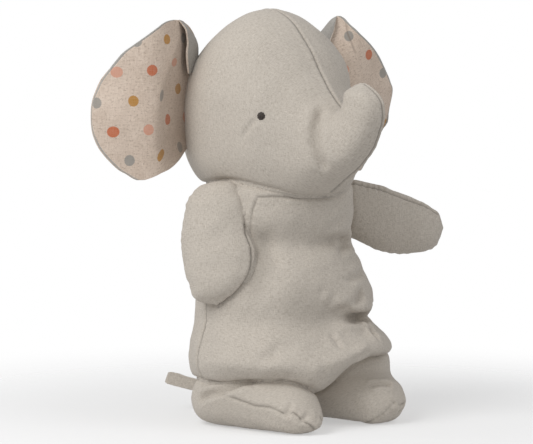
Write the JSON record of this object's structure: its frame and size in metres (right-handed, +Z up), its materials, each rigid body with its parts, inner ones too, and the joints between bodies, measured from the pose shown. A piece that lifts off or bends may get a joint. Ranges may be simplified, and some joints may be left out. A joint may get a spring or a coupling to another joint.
{
  "type": "stuffed elephant",
  "caption": "Standing stuffed linen elephant with a raised trunk, flat dotted ears, mitten arms, boot feet, a strap tail and a pellet-weighted seat.",
  "frame": {"origin": "middle of the bounding box's footprint, on the surface that the feet stand on", "axes": "+Z up through the body to the top of the head; the elephant faces -Y and its left side is +X"},
  "size_m": [0.311, 0.213, 0.3376],
  "materials": {
    "linen": "matte washed linen",
    "dotted_lining": "matte oatmeal linen with printed dots",
    "fibre_filling": "white polyester fibre",
    "pellet_cloth": "plain cotton pouch",
    "eye_thread": "dark wound thread"
  },
  "bodies": {
    "torso": {"torso_front_panel": "linen", "torso_back_right_panel": "linen", "torso_back_left_panel": "linen", "torso_filling": "fibre_filling", "pellet_pouch": "pellet_cloth"},
    "head": {"head_right_panel": "linen", "head_left_panel": "linen", "head_filling": "fibre_filling", "eye_right": "eye_thread", "eye_left": "eye_thread"},
    "ear_right": {"ear_right_front": "dotted_lining", "ear_right_back": "linen"},
    "ear_left": {"ear_left_front": "dotted_lining", "ear_left_back": "linen"},
    "arm_right": {"arm_right_front_panel": "linen", "arm_right_back_panel": "linen", "arm_right_filling": "fibre_filling"},
    "arm_left": {"arm_left_front_panel": "linen", "arm_left_back_panel": "linen", "arm_left_filling": "fibre_filling"},
    "leg_right": {"leg_right_upper_panel": "linen", "leg_right_sole_panel": "linen", "leg_right_filling": "fibre_filling"},
    "leg_left": {"leg_left_upper_panel": "linen", "leg_left_sole_panel": "linen", "leg_left_filling": "fibre_filling"},
    "tail": {"tail_strap": "linen"}
  },
  "joints": [
    {"name": "neck_nod", "type": "hinge", "parent": "torso", "child": "head", "pos_m": [0.00026, 0.01658, 0.15], "axis": [1, 0, 0], "range_deg": [-8, 8], "stiffness_Nm_per_rad": 1},
    {"name": "ear_right_flap", "type": "hinge", "parent": "head", "child": "ear_right", "pos_m": [-0.06474, 0.05958, 0.27], "axis": [0, 0, 1], "range_deg": [-10, 10], "stiffness_Nm_per_rad": 0.05},
    {"name": "ear_left_flap", "type": "hinge", "parent": "head", "child": "ear_left", "pos_m": [0.06526, 0.05958, 0.27], "axis": [0, 0, -1], "range_deg": [-10, 10], "stiffness_Nm_per_rad": 0.05},
    {"name": "arm_right_raise", "type": "hinge", "parent": "torso", "child": "arm_right", "pos_m": [-0.06174, 0.00958, 0.174], "axis": [0.6948, 0.671, -0.2588], "range_deg": [0, 75]},
    {"name": "arm_left_raise", "type": "hinge", "parent": "torso", "child": "arm_left", "pos_m": [0.06226, 0.00958, 0.174], "axis": [-0.5592, -0.829, 0], "range_deg": [-30, 15]},
    {"name": "leg_right_swing", "type": "hinge", "parent": "torso", "child": "leg_right", "pos_m": [-0.04274, 0.01358, 0.038], "axis": [1, 0, 0], "range_deg": [0, 10]},
    {"name": "leg_left_swing", "type": "hinge", "parent": "torso", "child": "leg_left", "pos_m": [0.04326, 0.01358, 0.038], "axis": [1, 0, 0], "range_deg": [0, 10]},
    {"name": "tail_swing", "type": "hinge", "parent": "torso", "child": "tail", "pos_m": [0.00026, 0.05731, 0.025], "axis": [0, 0, 1], "range_deg": [-20, 20], "stiffness_Nm_per_rad": 0.01}
  ]
}
